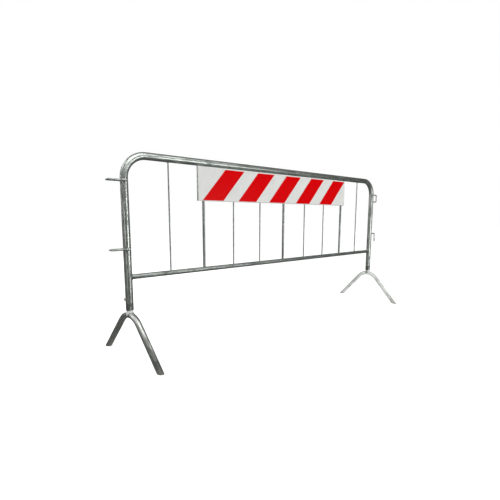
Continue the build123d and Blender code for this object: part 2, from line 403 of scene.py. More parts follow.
class GeometryGraph(Graph):
    """A Geometry Nodes tree while it is built, with named inputs."""

    def __init__(self, name: str) -> None:
        """Makes the tree with its geometry input and output.

        Args:
            name: the tree's name.
        """
        super().__init__(bpy.data.node_groups.new(name, "GeometryNodeTree"))
        sides = self.tree.interface
        sides.new_socket("Geometry", in_out="INPUT", socket_type="NodeSocketGeometry")
        sides.new_socket("Geometry", in_out="OUTPUT", socket_type="NodeSocketGeometry")
        self.entry = self.node("NodeGroupInput")

    def size(self, name: str, kind: str = "NodeSocketFloat") -> Value:
        """Gives a named input's number, and adds the input where it is new.

        Args:
            name: the input's name.
            kind: its socket's type.

        Returns:
            The number.
        """
        if name not in self.entry.outputs:
            self.tree.interface.new_socket(name, in_out="INPUT", socket_type=kind)
        return self.number(self.entry, name)

    def then(self, kind: str, geometry: Any, settings: Any = None, inputs: Any = None) -> Any:
        """Adds a node that takes geometry first, and gives the geometry that comes out."""
        return self.node(kind, settings, {0: geometry, **(inputs or {})}).outputs[0]

    def line(self) -> Any:
        """Gives the paths that come in, as curves."""
        return self.then("GeometryNodeMeshToCurve", self.entry.outputs[0])

    def travelled(self) -> Value:
        """Gives how far along its curve a point lies."""
        return self.number(self.node("GeometryNodeSplineParameter"), "Length")

    def ring(self, sides: Number) -> Any:
        """Gives a round outline, 1 in radius."""
        sockets = {"Resolution": sides, "Radius": 1.0}
        return self.node("GeometryNodeCurvePrimitiveCircle", None, sockets).outputs[0]

    def swept(self, curve: Any, ring: Any, radius: Number, capped: bool) -> Any:
        """Sweeps an outline along a curve, with or without its ends closed."""
        sockets = {"Profile Curve": ring, "Scale": radius, "Fill Caps": capped}
        return self.then("GeometryNodeCurveToMesh", curve, None, sockets)

    def named(self, name: str, kind: str = "FLOAT") -> Value | Triple:
        """Reads a named attribute of the geometry."""
        node = self.node("GeometryNodeInputNamedAttribute", {"data_type": kind}, {"Name": name})
        return self.triple(node) if kind == "FLOAT_VECTOR" else self.number(node)

    def store(self, geometry: Any, name: str, value: Any, kind: str = "FLOAT") -> Any:
        """Stores a named attribute on the geometry's points."""
        settings, sockets = {"data_type": kind, "domain": "POINT"}, {"Name": name, "Value": value}
        return self.then("GeometryNodeStoreNamedAttribute", geometry, settings, sockets)

    def drop(self, geometry: Any, *names: str) -> Any:
        """Removes named attributes.

        Args:
            geometry: the shape.
            *names: the attributes' names.

        Returns:
            The shape without them.
        """
        for name in names:
            geometry = self.then("GeometryNodeRemoveAttribute", geometry, None, {"Name": name})
        return geometry

    def position(self) -> Triple:
        """Reads the points' positions."""
        return self.triple(self.node("GeometryNodeInputPosition"))

    def finish(self, geometry: Any) -> bpy.types.NodeTree:
        """Realises instances, sets the material and ends the tree.

        Args:
            geometry: the shape.

        Returns:
            The whole tree.
        """
        material = self.size("Material", "NodeSocketMaterial")
        geometry = self.then("GeometryNodeRealizeInstances", geometry)
        geometry = self.then("GeometryNodeSetShadeSmooth", geometry)
        geometry = self.then("GeometryNodeSetMaterial", geometry, None, {"Material": material})
        self.node("NodeGroupOutput", None, {0: geometry})
        return self.tree


# ------------------------------------------------------------ paths and meshes


@dataclass
class Path:
    """A line of points that a tube or a weld follows."""

    points: list[Vector]
    radius: float
    bends: dict[int, float] = field(default_factory=dict)
    closed: bool = False


def stand(name: str, data: Any) -> bpy.types.Object:
    """Puts an object in the scene.

    Args:
        name: its name.
        data: its mesh, light or camera.

    Returns:
        The object.
    """
    made = bpy.data.objects.new(name, data)
    bpy.context.scene.collection.objects.link(made)
    return made


def in_plane(x: float, z: float) -> Vector:
    """Gives a point in the barrier's middle plane."""
    return Vector((x, 0.0, z))


def path_object(name: str, paths: list[Path]) -> bpy.types.Object:
    """Makes an object of bare edges, one chain for each path.

    Args:
        name: the object's name.
        paths: the lines.

    Returns:
        The object, whose points hold their bend and tube radius.
    """
    points: list[Vector] = []
    edges: list[tuple[int, int]] = []
    bends: list[float] = []
    radii: list[float] = []
    for path in paths:
        first = len(points)
        count = len(path.points)
        points += path.points
        edges += [(first + i, first + i + 1) for i in range(count - 1)]
        if path.closed:
            edges.append((first + count - 1, first))
        bends += [path.bends.get(i, 0.0) for i in range(count)]
        radii += [path.radius] * count
    mesh = bpy.data.meshes.new(name)
    mesh.from_pydata([tuple(p) for p in points], edges, [])
    for label, values in ((BEND, bends), (THICKNESS, radii)):
        mesh.attributes.new(label, "FLOAT", "POINT").data.foreach_set("value", values)
    return stand(name, mesh)


def grow(piece: bpy.types.Object, tree: bpy.types.NodeTree, finish: "Finish", **sizes: Any) -> None:
    """Runs a Geometry Nodes tree on an object and keeps the result as its plain mesh.

    Args:
        piece: the object that the tree starts from.
        tree: the tree.
        finish: what the piece wears.
        **sizes: a value for each of the tree's named inputs, with an underscore for each space.
    """
    named = {key.replace("_", " "): value for key, value in sizes.items()}
    named["Material"] = finish.material()
    modifier = piece.modifiers.new(tree.name, "NODES")
    modifier.node_group = tree
    for item in tree.interface.items_tree:
        if item.in_out == "INPUT" and item.name in named:
            modifier[item.identifier] = named[item.name]
    bpy.context.view_layer.update()
    depsgraph = bpy.context.evaluated_depsgraph_get()
    evaluated = piece.evaluated_get(depsgraph)
    mesh = bpy.data.meshes.new_from_object(evaluated, preserve_all_data_layers=True, depsgraph=depsgraph)
    piece.modifiers.clear()
    piece.data = mesh
    mesh.name = piece.name


class EndCut(Enum):
    """How the ends of a swept tube are shaped."""

    SQUARE = "square"
    BETWEEN_RAILS = "between rails"
    BETWEEN_POSTS = "between posts"
    ON_GROUND = "on ground"


@dataclass(frozen=True)
class TubeTree:
    """The Geometry Nodes tree that sweeps round tube along paths and shapes its ends."""

    cut: EndCut
    hollow: bool = False
    drilled: bool = False

    def build(self) -> bpy.types.NodeTree:
        """Builds the tree.

        Returns:
            The tree, whose inputs are its sizes.
        """
        graph = GeometryGraph(f"tube {self.cut.value}{' hollow' if self.hollow else ''}")
        bent = {"Count": graph.size("Bend Steps", "NodeSocketInt"), "Radius": graph.named(BEND)}
        curve = graph.then("GeometryNodeFilletCurve", graph.line(), {"mode": "POLY"}, bent)
        which = graph.number(graph.node("GeometryNodeCurveOfPoint"), "Curve Index")
        apart = (which + 1.0) * graph.size("Pattern Shift")
        curve = graph.store(curve, "along", graph.travelled() + apart)
        ring = graph.ring(graph.size("Sides", "NodeSocketInt"))
        ring = graph.store(ring, "around", graph.position(), "FLOAT_VECTOR")
        tube = self._skin(graph, curve, ring, graph.named(THICKNESS))
        if self.hollow:
            tube = self._walled(graph, curve, ring, tube)
        x, y, _ = graph.named("around", "FLOAT_VECTOR").scaled(graph.named(THICKNESS)).parts()
        unrolled = graph.join(graph.named("along"), x, y)
        tube = graph.store(tube, UNROLLED, unrolled, "FLOAT_VECTOR")
        tube = graph.drop(tube, "along", "around", THICKNESS, BEND, "mate")
        if self.drilled:
            tube = self._drilled(graph, tube)
        return graph.finish(tube)

    def _skin(self, graph: GeometryGraph, curve: Any, ring: Any, radius: Value) -> Any:
        """Sweeps one skin and shapes its ends.

        Args:
            graph: the tree.
            curve: what it follows.
            ring: the round outline, 1 in radius.
            radius: the skin's radius.

        Returns:
            The skin.
        """
        skin = graph.swept(curve, ring, radius, capped=not self.hollow)
        place = self._shaped(graph, *graph.position().parts())
        if place is None:
            return skin
        return graph.then("GeometryNodeSetPosition", skin, None, {"Position": place})

    def _shaped(self, graph: GeometryGraph, x: Value, y: Value, z: Value) -> Triple | None:
        """Gives where a point goes, so that the tube's ends fit what they are welded to.

        Args:
            graph: the tree.
            x: the point's place along the barrier.
            y: the point's place across it.
            z: the point's height.

        Returns:
            The new place, or None where the ends stay square.
        """
        if self.cut is EndCut.BETWEEN_RAILS:
            saddles = []
            for rail in ("Lower", "Upper"):
                radius = graph.size(f"{rail} Radius")
                rise = (radius * radius - y * y).at_least(0.0).root()
                height = graph.size(f"{rail} Height")
                saddles.append(height + rise if rail == "Lower" else height - rise)
            return graph.join(x, y, z.at_least(saddles[0]).at_most(saddles[1]))
        if self.cut is EndCut.BETWEEN_POSTS:
            radius = graph.size("Post Radius")
            reach = graph.size("Post Place") - (radius * radius - y * y).at_least(0.0).root()
            return graph.join(x.at_least(-reach).at_most(reach), y, z)
        if self.cut is EndCut.ON_GROUND:
            below = (-z).at_least(0.0)
            return graph.join(x, y - y.sign() * below / graph.size("Leg Slope"), z + below)
        return None

    def _walled(self, graph: GeometryGraph, curve: Any, ring: Any, outside: Any) -> Any:
        """Gives an open skin an inner skin and closes the two at both ends.

        Args:
            graph: the tree.
            curve: what the skins follow.
            ring: the round outline, 1 in radius.
            outside: the outer skin.

        Returns:
            The closed tube.
        """
        inside = self._skin(graph, curve, ring, graph.named(THICKNESS) - graph.size("Wall"))
        outside = graph.store(outside, "mate", graph.number(graph.node("GeometryNodeInputIndex")))
        near = graph.number(graph.node("GeometryNodeInputMeshEdgeNeighbors"))
        equal = {"data_type": "INT", "operation": "EQUAL"}
        rim = graph.node("FunctionNodeCompare", equal, {"A_INT": near, "B_INT": 1})
        lip = graph.node(
            "GeometryNodeExtrudeMesh",
            {"mode": "EDGES"},
            {0: outside, "Selection": rim.outputs[0], "Offset Scale": 0.0},
        )
        mate = graph.node(
            "GeometryNodeSampleIndex",
            {"data_type": "FLOAT_VECTOR", "domain": "POINT"},
            {0: inside, "Value": graph.position(), "Index": graph.named("mate")},
        )
        onto = {"Selection": lip.outputs["Top"], "Position": mate.outputs[0]}
        closed = graph.then("GeometryNodeSetPosition", lip.outputs["Mesh"], None, onto)
        both = graph.node("GeometryNodeJoinGeometry")
        for part in (closed, graph.then("GeometryNodeFlipFaces", inside)):
            graph.tree.links.new(part, both.inputs[0])
        return graph.then("GeometryNodeMergeByDistance", both.outputs[0], None, {"Distance": SAME_POINT})

    @staticmethod
    def _drilled(graph: GeometryGraph, tube: Any) -> Any:
        """Cuts the drill object's shape out of the tube and keeps the unrolled attribute.

        Args:
            graph: the tree.
            tube: the whole tube.

        Returns:
            The tube with its holes.
        """
        drill = {"Object": graph.size("Drill", "NodeSocketObject")}
        cutter = graph.node("GeometryNodeObjectInfo", None, drill)
        exact = {"operation": "DIFFERENCE", "solver": "EXACT"}
        cut = graph.node("GeometryNodeMeshBoolean", exact, {0: tube, 1: cutter.outputs["Geometry"]})
        nearest = graph.node(
            "GeometryNodeSampleNearestSurface",
            {"data_type": "FLOAT_VECTOR"},
            {0: tube, "Value": graph.named(UNROLLED, "FLOAT_VECTOR")},
        )
        return graph.store(cut.outputs[0], UNROLLED, graph.triple(nearest), "FLOAT_VECTOR")


@dataclass(frozen=True)
class BeadTree:
    """The Geometry Nodes tree that lays a rippled weld bead along paths."""

    sides: int = 9
    lumps: Pattern = Pattern(160.0)

    def build(self) -> bpy.types.NodeTree:
        """Builds the tree.

        Returns:
            The tree, whose inputs are its sizes.
        """
        graph = GeometryGraph("weld beads")
        curve = graph.line()
        ripple = (graph.travelled() / graph.size("Ripple Pitch")).fraction()
        lumps = graph.noise(graph.position(), self.lumps) - 0.5
        swell = 1.0 - ripple * graph.size("Ripple Depth") + lumps * graph.size("Unevenness")
        bead = graph.swept(curve, graph.ring(self.sides), graph.named(THICKNESS) * swell, capped=True)
        return graph.finish(graph.drop(bead, THICKNESS, BEND))


@dataclass(frozen=True)
class DripTree:
    """The Geometry Nodes tree that scatters frozen zinc drips along the underside of a rail."""

    spread: Three = (0.03, 0.002, 0.0)
    smallest: Three = (0.0016, 0.0007, 0.0004)
    largest: Three = (0.0065, 0.0015, 0.0011)

    def build(self) -> bpy.types.NodeTree:
        """Builds the tree.

        Returns:
            The tree, whose inputs are its sizes.
        """
        graph = GeometryGraph("zinc drips")
        along = {0: graph.line(), "Count": graph.size("Count", "NodeSocketInt")}
        dots = graph.node("GeometryNodeCurveToPoints", {"mode": "COUNT"}, along)
        seed = graph.size("Seed", "NodeSocketInt")
        back = tuple(-reach for reach in self.spread)
        spread = self._random(graph, seed + 1.0, back, self.spread)
        moved = graph.then("GeometryNodeSetPosition", dots.outputs[0], None, {"Offset": spread})
        drop = graph.node("GeometryNodeMeshUVSphere", None, {"Segments": 10, "Rings": 6, "Radius": 1.0})
        size = self._random(graph, seed + 2.0, self.smallest, self.largest)
        inputs = {"Instance": drop.outputs[0], "Scale": size}
        drips = graph.then("GeometryNodeInstanceOnPoints", moved, None, inputs)
        drips = graph.then("GeometryNodeRealizeInstances", drips)
        return graph.finish(graph.drop(drips, THICKNESS, BEND))

    @staticmethod
    def _random(graph: GeometryGraph, seed: Value, low: Three, high: Three) -> Triple:
        """Gives a random vector between two for each point."""
        settings, inputs = {"data_type": "FLOAT_VECTOR"}, {"Min": low, "Max": high, "Seed": seed}
        return graph.triple(graph.node("FunctionNodeRandomValue", settings, inputs), "Value")


# --------------------------------------------------------------------- finishes


class Grain(Enum):
    """What a galvanised pattern follows: the stretch of its clouds, its runs and its scratches."""

    ALONG_TUBE = ((0.30, 1.0, 1.0), (0.07, 1.0, 1.0), (0.10, 1.0, 1.0))
    BARRIER = ((1.0, 1.0, 0.45), (1.0, 1.0, 0.12), (1.0, 1.0, 0.14))


CLOUDS = Pattern(26.0, 4.0, 0.62)
RUNS = Pattern(210.0, 3.0, 0.6)
FINE = Pattern(900.0, 3.0, 0.65)
DULL = Pattern(34.0, 5.0, 0.68, shift=(3.1, 0.7, 1.9), start=0.49, full=0.63)
BLOOM = Pattern(48.0, 5.0, 0.70, shift=(7.3, 2.2, 5.1), start=0.57, full=0.74)
SPLASH = Pattern(46.0, 5.0, 0.65)
WOBBLE = Pattern(30.0, 1.0)
SCRATCHED = Pattern(24.0, shift=(1.7, 4.1, 0.3), start=0.55, full=0.66)
WASH = Pattern(70.0, 4.0, 0.6, start=0.52, full=0.80)
SMEAR = Pattern(9.0, 4.0, 0.6)
SCUFF = Pattern(120.0, 3.0, 0.7, shift=(4.0, 0.0, 2.0), start=0.66, full=0.74)
TURNING = Pattern(1400.0, 3.0, 0.6)
HAZE = Pattern(240.0, 4.0, 0.6, start=0.42, full=0.72)
PITS = Pattern(1500.0)


@dataclass(frozen=True)
class Finish:
    """What every finish has: a name, and a material that is built once."""

    name: str

    def material(self) -> bpy.types.Material:
        """Gives the material.

        Returns:
            The one built before, or a new one.
        """
        made = bpy.data.materials.get(self.name)
        if made is None:
            made = bpy.data.materials.new(self.name)
            made.use_nodes = True
            self.paint(ShaderGraph(made.node_tree))
        return made

    def paint(self, graph: ShaderGraph) -> None:
        """Adds the nodes to the material's empty tree; each finish has its own."""
        raise NotImplementedError


@dataclass(frozen=True)
class Galvanised(Finish):
    """Hot-dip galvanised steel that has stood outside: spangle, clouds, runs and white oxide."""

    grain: Grain = Grain.BARRIER
    zinc: Colour = (0.60, 0.64, 0.605)
    patina: Colour = (0.085, 0.095, 0.085)
    oxide: Colour = (0.62, 0.64, 0.61)
    bare: Colour = (0.78, 0.80, 0.78)
    soil: Colour = (0.115, 0.098, 0.072)
    spangle: float = 210.0  # flakes for each metre
    flake: float = 0.18
    cloudiness: float = 0.8
    polish: float = 0.22
    metal: float = 0.96
    soil_height: float = 0.0
    staining: float = 0.60

    def paint(self, graph: ShaderGraph) -> None:
        """Builds the zinc from clouds, runs, spangle, oxide and, near the ground, soil.

        Args:
            graph: the material's empty tree.
        """
        masks = self._masks(graph)
        contrast = {"clouds": self.cloudiness, "runs": 0.55, "flakes": self.flake, "facets": 0.08}
        tone = weigh(1.0 - sum(contrast.values()) / 2, masks, **contrast)
        metal = weigh(self.metal, masks, dull=-0.08, bloom=-0.30, soil=-0.15)
        rough = weigh(self.polish, masks, clouds=0.16, flakes=0.10, dull=0.16, bloom=0.20)
        rough = weigh(rough, masks, soil=0.25, scratch=-0.08)
        height = weigh(0.0, masks, flakes=0.25, fine=0.45, runs=0.5, bloom=0.3, scratch=-0.4, grit=0.8)
        graph.surface(
            Base_Color=graph.layered(
                graph.shade(self.zinc, tone),
                masks,
                Layer("dull", self.staining, self.patina),
                Layer("bloom", 0.50, self.oxide),
                Layer("scratch", 0.35, self.bare),
                Layer("soil", 0.45, self.soil),
            ),
            Metallic=metal.at_least(0.0),
            Roughness=rough.at_most(0.95),
            Normal=graph.bump(height, strength=0.35, depth=0.0006),
        )

    def _masks(self, graph: ShaderGraph) -> dict[str, Value]:
        """Gives every pattern of the zinc.

        Args:
            graph: the material's tree.

        Returns:
            Each pattern's number by its name, with soil and grit only where soil reaches.
        """
        along_tube = self.grain is Grain.ALONG_TUBE
        place = graph.attribute(UNROLLED) if along_tube else graph.object_place()
        cloud_stretch, run_stretch, scratch_stretch = self.grain.value
        facets_across_flake = 2.6
        masks = {
            "clouds": graph.noise(place * cloud_stretch, CLOUDS),
            "runs": graph.noise(place * run_stretch, RUNS),
            "fine": graph.noise(place, FINE),
            "flakes": graph.cells(place + (0.2, 0.1, 0.3), self.spangle),
            "facets": graph.cells(place, self.spangle * facets_across_flake),
            "dull": graph.noise(place * cloud_stretch, DULL),
            "bloom": graph.noise(place * cloud_stretch, BLOOM),
            "scratch": self._scratches(graph, place, scratch_stretch),
        }
        if self.soil_height:
            splash_reach = 0.09
            place = graph.object_place()
            up = place.parts()[2] + (graph.noise(place, SPLASH) - 0.5) * splash_reach
            masks["soil"] = up.step(self.soil_height, 0.0)
            masks["grit"] = masks["soil"] * masks["fine"]
        return masks

    @staticmethod
    def _scratches(graph: ShaderGraph, place: Triple, stretch: Three) -> Value:
        """Gives sparse thin scratches that lie roughly along the piece.

        Args:
            graph: the material's tree.
            place: the pattern's coordinates.
            stretch: how the scratches are drawn out.

        Returns:
            1 on a scratch.
        """
        for_each_metre, width, bow_y, bow_z = 150.0, 0.035, 0.008, 0.006
        wobble = graph.noise(place, WOBBLE)
        bent = place * stretch + graph.join(0.0, wobble * bow_y, wobble * bow_z)
        edge = graph.cells(bent, for_each_metre, edges=True)
        return edge.step(width, 0.0) * graph.noise(place, SCRATCHED)


@dataclass(frozen=True)
class ReflectiveFilm(Finish):
    """Retroreflective sheeting: hexagonal cells with pale seams under a clear face."""

    colour: Colour = (0.565, 0.57, 0.555)
    seam: Colour = (0.66, 0.665, 0.65)
    grime: Colour = (0.34, 0.33, 0.30)
    scuff: Colour = (0.50, 0.49, 0.46)
    cell: float = 0.0042
    grime_strength: float = 0.35

    def paint(self, graph: ShaderGraph) -> None:
        """Builds the cells, their seams and the grime that rain leaves.

        Args:
            graph: the material's empty tree.
        """
        place = graph.object_place()
        x, _, z = place.parts()
        smear = graph.noise(place, SMEAR)
        masks = {
            "smear": smear,
            "cells": graph.cells(place, 1.0 / self.cell),
            "seams": self._seams(x / self.cell, z / self.cell),
            "scuff": graph.noise(place * (0.25, 1.0, 1.0), SCUFF),
            "grime": (graph.noise(place * (1.0, 1.0, 0.18), WASH) + smear.step(0.50, 0.85)) * 0.5,
        }
        graph.surface(
            Base_Color=graph.layered(
                graph.shade(self.colour, weigh(0.895, masks, cells=0.05, smear=0.10)),
                masks,
                Layer("seams", 0.55, self.seam),
                Layer("grime", self.grime_strength, self.grime),
                Layer("scuff", 0.18, self.scuff),
            ),
            Roughness=weigh(0.34, masks, grime=0.30, scuff=0.2),
            Coat_Weight=weigh(0.03, masks, grime=-0.025).at_least(0.0),
            Coat_Roughness=0.10,
            Specular_IOR_Level=0.05,
            Normal=graph.bump(weigh(0.0, masks, seams=0.6, smear=0.2), strength=0.25, depth=0.00025),
        )

    @staticmethod
    def _seams(x: Value, z: Value) -> Value:
        """Gives the seams between hexagonal cells that are 1 across.

        Args:
            x: the place along the sheet, in cells.
            z: the place up the sheet, in cells.

        Returns:
            1 on a seam.
        """
        row, away = math.sqrt(3.0), 500.0  # away keeps both numbers above 0
        start, full = 0.42, 0.49  # where a seam begins and is whole, from the cell's middle
        nearest = None
        for shift_x, shift_z in ((0.0, 0.0), (0.5, row / 2)):
            across = abs((x + shift_x + away).fraction() - 0.5)
            up = abs(((z + shift_z) / row + away).fraction() - 0.5) * row
            reach = across.at_least(across * 0.5 + up * (row / 2))
            nearest = reach if nearest is None else nearest.at_most(reach)
        return nearest.step(start, full)


@dataclass(frozen=True)
class PlatedSteel(Finish):
    """Machined and zinc-plated steel: fine turning marks and a thin haze."""

    plate: Colour = (0.60, 0.60, 0.56)
    haze: Colour = (0.36, 0.35, 0.31)
    polish: float = 0.28

    def paint(self, graph: ShaderGraph) -> None:
        """Builds the turning marks and the haze.

        Args:
            graph: the material's empty tree.
        """
        place = graph.object_place()
        masks = {
            "turning": graph.noise(place * (0.15, 1.0, 1.0), TURNING),
            "haze": graph.noise(place, HAZE),
            "pits": graph.noise(place, PITS),
        }
        tone = weigh(0.86, masks, turning=0.28)
        graph.surface(
            Base_Color=graph.layered(graph.shade(self.plate, tone), masks, Layer("haze", 0.6, self.haze)),
            Metallic=weigh(1.0, masks, haze=-0.15),
            Roughness=weigh(self.polish, masks, haze=0.25, turning=0.08),
            Normal=graph.bump(weigh(0.0, masks, turning=0.6, pits=0.4), strength=0.35, depth=0.0002),
        )


HOOP_ZINC = Galvanised("hoop_zinc", grain=Grain.ALONG_TUBE)
INFILL_ZINC = Galvanised(
    "infill_zinc",
    grain=Grain.ALONG_TUBE,
    zinc=(0.43, 0.465, 0.44),
    spangle=260.0,
    cloudiness=0.6,
    polish=0.31,
)
WORN_FOOT_ZINC = Galvanised(
    "worn_foot_zinc",
    grain=Grain.ALONG_TUBE,
    zinc=(0.68, 0.70, 0.66),
    patina=(0.125, 0.128, 0.095),
    polish=0.31,
    soil_height=0.03,
    staining=0.45,
)
# The right foot's zinc is painted lighter and less metallic than the left foot's. This is a painted
# highlight for the light that washes that foot out, not fresher zinc.
PAINTED_HIGHLIGHT_FOOT_ZINC = Galvanised(
    "fresh_foot_zinc",
    grain=Grain.ALONG_TUBE,
    zinc=(0.80, 0.82, 0.79),
    patina=(0.30, 0.31, 0.29),
    cloudiness=0.35,
    polish=0.39,
    metal=0.40,
    soil_height=0.03,
)
COUPLING_ZINC = Galvanised("coupling_zinc", spangle=300.0, polish=0.25)
# The spigots and post stops are painted a pale, half-metallic zinc. This is a painted highlight that
# makes the shaded neck between post and foot read bright.
SPIGOT_PAINTED_HIGHLIGHT_ZINC = Galvanised("spigot_zinc", zinc=(0.84, 0.86, 0.83), polish=0.45, flake=0.10, metal=0.45)
WELD_ZINC = Galvanised("weld_zinc", zinc=(0.46, 0.485, 0.46), polish=0.37, spangle=520.0)
SIGN_ZINC = Galvanised("sign_zinc", spangle=85.0, flake=0.42, cloudiness=0.25, polish=0.29, staining=0.30)
CLIP_ZINC = Galvanised("clip_zinc", spangle=160.0, flake=0.3, polish=0.29, staining=0.35)
WHITE_FILM = ReflectiveFilm("white_film_cells")
RED_FILM = ReflectiveFilm(
    "red_film_cells",
    colour=(0.52, 0.0, 0.0012),
    seam=(0.60, 0.0, 0.002),
    grime=(0.22, 0.004, 0.005),
    scuff=(0.50, 0.008, 0.009),
    grime_strength=0.22,
)
RIVET_ALUMINIUM = PlatedSteel("rivet_aluminium", plate=(0.66, 0.67, 0.68), haze=(0.42, 0.42, 0.42))
FASTENER_PLATE = PlatedSteel("fastener_plate")


def dress(nodes: list[str], finish: Finish) -> None:
    """Gives CAD nodes a finish and leaves their shapes alone.

    Args:
        nodes: the nodes' names.
        finish: what they get.
    """
    for name in nodes:
        node = frame["nodes"][name]
        for slot in node.material_slots:
            slot.material = finish.material()
        LOG.info("node %s wears %s", name, finish.name)


def place_piece(piece: bpy.types.Object, body: str, slot: str, *stands_for: str) -> None:
    """Attaches a finished piece to its body and hides the CAD nodes that it replaces.

    Args:
        piece: the piece.
        body: the CAD body that it moves with.
        slot: the record's material slot; not used.
        *stands_for: the CAD nodes that it replaces.
    """
    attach(piece, body)
    if stands_for:
        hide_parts(*stands_for)
    LOG.info("piece %s rides on %s with %d faces", piece.name, body, len(piece.data.polygons))


def drill_object(holes: list[tuple[Vector, Vector, float]]) -> bpy.types.Object:
    """Makes the cylinders that holes are cut with.

    Args:
        holes: each hole's two ends and radius.

    Returns:
        The object, which the caller removes.
    """
    sides = 32
    circle = [math.tau * step / sides for step in range(sides)]
    points: list[Vector] = []
    faces: list[list[int]] = []
    for start, end, radius in holes:
        turn = (end - start).to_track_quat("Z", "Y").to_matrix()
        first = len(points)
        for centre in (start, end):
            points += [centre + turn @ Vector((math.cos(a), math.sin(a), 0.0)) * radius for a in circle]
        for step in range(sides):
            after = (step + 1) % sides
            faces.append([first + step, first + after, first + sides + after, first + sides + step])
        faces.append([first + step for step in reversed(range(sides))])
        faces.append([first + sides + step for step in range(sides)])
    mesh = bpy.data.meshes.new("drill")
    mesh.from_pydata([tuple(p) for p in points], [], faces)
    return stand("drill", mesh)


# ---------------------------------------------------------------- sub-assemblies


class Outline(Enum):
    """The outline of what a weld runs round."""

    ROUND = "round"
    HEXAGON = "hexagon"


@dataclass
class Hoop:
    """The bent tube that makes both posts and the top rail."""

    radius: float = 0.020
    wall: float = 0.0015
    bend: float = 0.120
    vent_radius: float = 0.005
    vent_above_rail: float = 0.090
    screw_hole_radius: float = 0.0044
    ring_gap: float = 0.016  # from a hole's axis to the tube's nearest ring of corners
    drill_reach: float = 0.006  # how far a drill starts outside the tube
    post: float = field(init=False)
    top: float = field(init=False)
    bottom: float = field(init=False)

    def __post_init__(self) -> None:
        """Takes the hoop's place from its CAD node."""
        low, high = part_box("frame_hoop")
        self.post = high.x - self.radius
        self.top = high.z - self.radius
        self.bottom = low.z

    def make(self, rail_height: float, screw_height: float) -> None:
        """Builds the hoop with its vents and screw holes.

        Args:
            rail_height: the bottom rail's axis.
            screw_height: the dog screws' axes.
        """
        vent_height = rail_height + self.vent_above_rail
        heights = [self.bottom]
        for height in (screw_height, vent_height):
            heights += [height - self.ring_gap, height + self.ring_gap]
        heights.append(self.top)
        points = [in_plane(-self.post, z) for z in heights]
        points += [in_plane(self.post, z) for z in reversed(heights)]
        bends = {len(heights) - 1: self.bend, len(heights): self.bend}
        piece = path_object("hoop_tube", [Path(points, self.radius, bends)])
        drill = drill_object(self._holes(vent_height, screw_height))
        tree = TubeTree(EndCut.SQUARE, hollow=True, drilled=True).build()
        sizes = {"Sides": 56, "Bend_Steps": 28, "Wall": self.wall, "Drill": drill, "Pattern_Shift": 0.0}
        grow(piece, tree, HOOP_ZINC, **sizes)
        bpy.data.objects.remove(drill)
        place_piece(piece, "frame", "hoop_galvanised", "frame_hoop")

    def _holes(self, vent_height: float, screw_height: float) -> list[tuple[Vector, Vector, float]]:
        """Gives the vents in the posts' inner faces and the screw holes in their -X faces.

        Args:
            vent_height: the vents' axes.
            screw_height: the screw holes' axes.

        Returns:
            For each hole, a point outside the wall, a point inside it and the radius.
        """
        reach = self.radius + self.drill_reach
        holes = []
        for side in (LEFT, RIGHT):
            for towards, height, radius in (
                (-side, vent_height, self.vent_radius),
                (LEFT, screw_height, self.screw_hole_radius),
            ):
                axis = in_plane(side * self.post, height)
                holes.append((axis + ALONG * towards * reach, axis, radius))
        return holes


@dataclass
class Infill:
    """The bottom rail and the nine bars that stand on it."""

    hoop: Hoop
    rail_radius: float = 0.0135
    rod_radius: float = 0.004
    upright_radius: float = 0.008
    rail_height: float = field(init=False)
    bars: dict[str, tuple[float, float]] = field(init=False)

    def __post_init__(self) -> None:
        """Takes the rail's height and each bar's place and radius from the CAD nodes."""
        low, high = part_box("bottom_rail")
        self.rail_height = (low.z + high.z) / 2
        self.bars = {}
        for name in sorted(frame["nodes"]):
            if name.startswith("infill_"):
                low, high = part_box(name)
                thick = name.startswith("infill_upright")
                radius = self.upright_radius if thick else self.rod_radius
                self.bars[name] = ((low.x + high.x) / 2, radius)

    def make(self) -> None:
        """Builds the rail and the bars."""
        post, level = self.hoop.post, self.rail_height
        rail = path_object("bottom_rail_tube", [self._line(-post, level, post, level, self.rail_radius)])
        tree = TubeTree(EndCut.BETWEEN_POSTS).build()
        sizes = {"Sides": 48, "Pattern_Shift": 0.0, "Post_Radius": self.hoop.radius, "Post_Place": post}
        grow(rail, tree, INFILL_ZINC, Bend_Steps=1, **sizes)
        place_piece(rail, "frame", "infill_galvanised", "bottom_rail")
        paths = [self._line(x, level, x, self.hoop.top, radius) for x, radius in self.bars.values()]
        bars = path_object("infill_bars", paths)
        tree = TubeTree(EndCut.BETWEEN_RAILS).build()
        sizes = {"Lower_Radius": self.rail_radius, "Upper_Radius": self.hoop.radius}
        sizes |= {"Lower_Height": level, "Upper_Height": self.hoop.top}
        grow(bars, tree, INFILL_ZINC, Bend_Steps=1, Sides=28, Pattern_Shift=7.31, **sizes)
        place_piece(bars, "frame", "infill_galvanised", *self.bars)

    @staticmethod
    def _line(x: float, z: float, to_x: float, to_z: float, radius: float) -> Path:
        """Gives a straight path in the barrier's middle plane."""
        return Path([in_plane(x, z), in_plane(to_x, to_z)], radius)

    def drips(self) -> None:
        """Scatters frozen zinc under the two rails."""
        from_bend, from_post, width = 0.05, 0.06, 0.001
        lines = (
            (self.hoop.post - self.hoop.bend - from_bend, self.hoop.top - self.hoop.radius),
            (self.hoop.post - from_post, self.rail_height - self.rail_radius),
        )
        piece = path_object("zinc_drips", [self._line(-x, z, x, z, width) for x, z in lines])
        grow(piece, DripTree().build(), WELD_ZINC, Count=34, Seed=11)
        place_piece(piece, "frame", "infill_galvanised")


